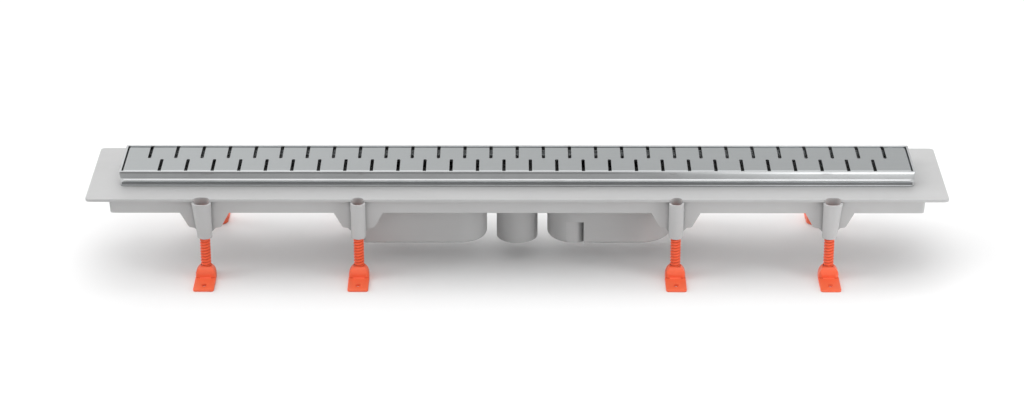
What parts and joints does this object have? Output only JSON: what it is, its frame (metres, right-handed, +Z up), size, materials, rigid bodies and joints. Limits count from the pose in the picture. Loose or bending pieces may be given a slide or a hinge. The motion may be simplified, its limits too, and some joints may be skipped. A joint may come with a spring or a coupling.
{
  "type": "channel drain",
  "caption": "Linear shower channel drain: slotted steel grate in a steel frame on a flanged plastic channel with siphon bowls, central outlet socket and screw-adjustable feet.",
  "frame": {"origin": "centre of the plan, at the level of the undersides of the feet", "axes": "+X along the channel, +Y across it, +Z up; half a turn about Z brings the drain onto itself"},
  "size_m": [0.916, 0.2216, 0.1067],
  "materials": {
    "grey_plastic": "satin moulded",
    "polished_steel": "polished stainless",
    "brushed_steel": "fine brushed stainless",
    "orange_plastic": "satin moulded",
    "insert_plastic": "satin moulded",
    "seal_rubber": "matte"
  },
  "bodies": {
    "drain": {"channel_body": "grey_plastic", "siphon_housing": "grey_plastic", "grate_frame": "polished_steel", "slotted_grate": "brushed_steel", "siphon_insert_left": "insert_plastic", "siphon_insert_right": "insert_plastic", "insert_seal_left": "seal_rubber", "insert_seal_right": "seal_rubber"},
    "foot_front_1": {"levelling_foot_front_1": "orange_plastic"},
    "screw_front_1": {"levelling_screw_front_1": "orange_plastic"},
    "foot_front_2": {"levelling_foot_front_2": "orange_plastic"},
    "screw_front_2": {"levelling_screw_front_2": "orange_plastic"},
    "foot_front_3": {"levelling_foot_front_3": "orange_plastic"},
    "screw_front_3": {"levelling_screw_front_3": "orange_plastic"},
    "foot_front_4": {"levelling_foot_front_4": "orange_plastic"},
    "screw_front_4": {"levelling_screw_front_4": "orange_plastic"},
    "foot_back_1": {"levelling_foot_back_1": "orange_plastic"},
    "screw_back_1": {"levelling_screw_back_1": "orange_plastic"},
    "foot_back_2": {"levelling_foot_back_2": "orange_plastic"},
    "screw_back_2": {"levelling_screw_back_2": "orange_plastic"},
    "foot_back_3": {"levelling_foot_back_3": "orange_plastic"},
    "screw_back_3": {"levelling_screw_back_3": "orange_plastic"},
    "foot_back_4": {"levelling_foot_back_4": "orange_plastic"},
    "screw_back_4": {"levelling_screw_back_4": "orange_plastic"}
  },
  "joints": [
    {"name": "foot_front_1_height", "type": "slide", "parent": "drain", "child": "foot_front_1", "axis": [0, 0, 1], "range_m": [-0.02, 0.011]},
    {"name": "screw_front_1_turn", "type": "hinge", "parent": "foot_front_1", "child": "screw_front_1", "pos_m": [-0.3323, -0.0715, 0.03], "axis": [0, 0, 1], "range_deg": [-2120, 1167]},
    {"name": "foot_front_2_height", "type": "slide", "parent": "drain", "child": "foot_front_2", "axis": [0, 0, 1], "range_m": [-0.02, 0.011]},
    {"name": "screw_front_2_turn", "type": "hinge", "parent": "foot_front_2", "child": "screw_front_2", "pos_m": [-0.1688, -0.0715, 0.03], "axis": [0, 0, 1], "range_deg": [-2120, 1167]},
    {"name": "foot_front_3_height", "type": "slide", "parent": "drain", "child": "foot_front_3", "axis": [0, 0, 1], "range_m": [-0.02, 0.011]},
    {"name": "screw_front_3_turn", "type": "hinge", "parent": "foot_front_3", "child": "screw_front_3", "pos_m": [0.1688, -0.0715, 0.03], "axis": [0, 0, 1], "range_deg": [-2120, 1167]},
    {"name": "foot_front_4_height", "type": "slide", "parent": "drain", "child": "foot_front_4", "axis": [0, 0, 1], "range_m": [-0.02, 0.011]},
    {"name": "screw_front_4_turn", "type": "hinge", "parent": "foot_front_4", "child": "screw_front_4", "pos_m": [0.3323, -0.0715, 0.03], "axis": [0, 0, 1], "range_deg": [-2120, 1167]},
    {"name": "foot_back_1_height", "type": "slide", "parent": "drain", "child": "foot_back_1", "axis": [0, 0, 1], "range_m": [-0.02, 0.011]},
    {"name": "screw_back_1_turn", "type": "hinge", "parent": "foot_back_1", "child": "screw_back_1", "pos_m": [-0.3323, 0.0715, 0.03], "axis": [0, 0, 1], "range_deg": [-2120, 1167]},
    {"name": "foot_back_2_height", "type": "slide", "parent": "drain", "child": "foot_back_2", "axis": [0, 0, 1], "range_m": [-0.02, 0.011]},
    {"name": "screw_back_2_turn", "type": "hinge", "parent": "foot_back_2", "child": "screw_back_2", "pos_m": [-0.1688, 0.0715, 0.03], "axis": [0, 0, 1], "range_deg": [-2120, 1167]},
    {"name": "foot_back_3_height", "type": "slide", "parent": "drain", "child": "foot_back_3", "axis": [0, 0, 1], "range_m": [-0.02, 0.011]},
    {"name": "screw_back_3_turn", "type": "hinge", "parent": "foot_back_3", "child": "screw_back_3", "pos_m": [0.1688, 0.0715, 0.03], "axis": [0, 0, 1], "range_deg": [-2120, 1167]},
    {"name": "foot_back_4_height", "type": "slide", "parent": "drain", "child": "foot_back_4", "axis": [0, 0, 1], "range_m": [-0.02, 0.011]},
    {"name": "screw_back_4_turn", "type": "hinge", "parent": "foot_back_4", "child": "screw_back_4", "pos_m": [0.3323, 0.0715, 0.03], "axis": [0, 0, 1], "range_deg": [-2120, 1167]}
  ],
  "couplings": [
    {"joint": "screw_front_1_turn", "follows": "foot_front_1_height", "rad_per_m": 1848},
    {"joint": "screw_front_2_turn", "follows": "foot_front_2_height", "rad_per_m": 1848},
    {"joint": "screw_front_3_turn", "follows": "foot_front_3_height", "rad_per_m": 1848},
    {"joint": "screw_front_4_turn", "follows": "foot_front_4_height", "rad_per_m": 1848},
    {"joint": "screw_back_1_turn", "follows": "foot_back_1_height", "rad_per_m": 1848},
    {"joint": "screw_back_2_turn", "follows": "foot_back_2_height", "rad_per_m": 1848},
    {"joint": "screw_back_3_turn", "follows": "foot_back_3_height", "rad_per_m": 1848},
    {"joint": "screw_back_4_turn", "follows": "foot_back_4_height", "rad_per_m": 1848}
  ]
}
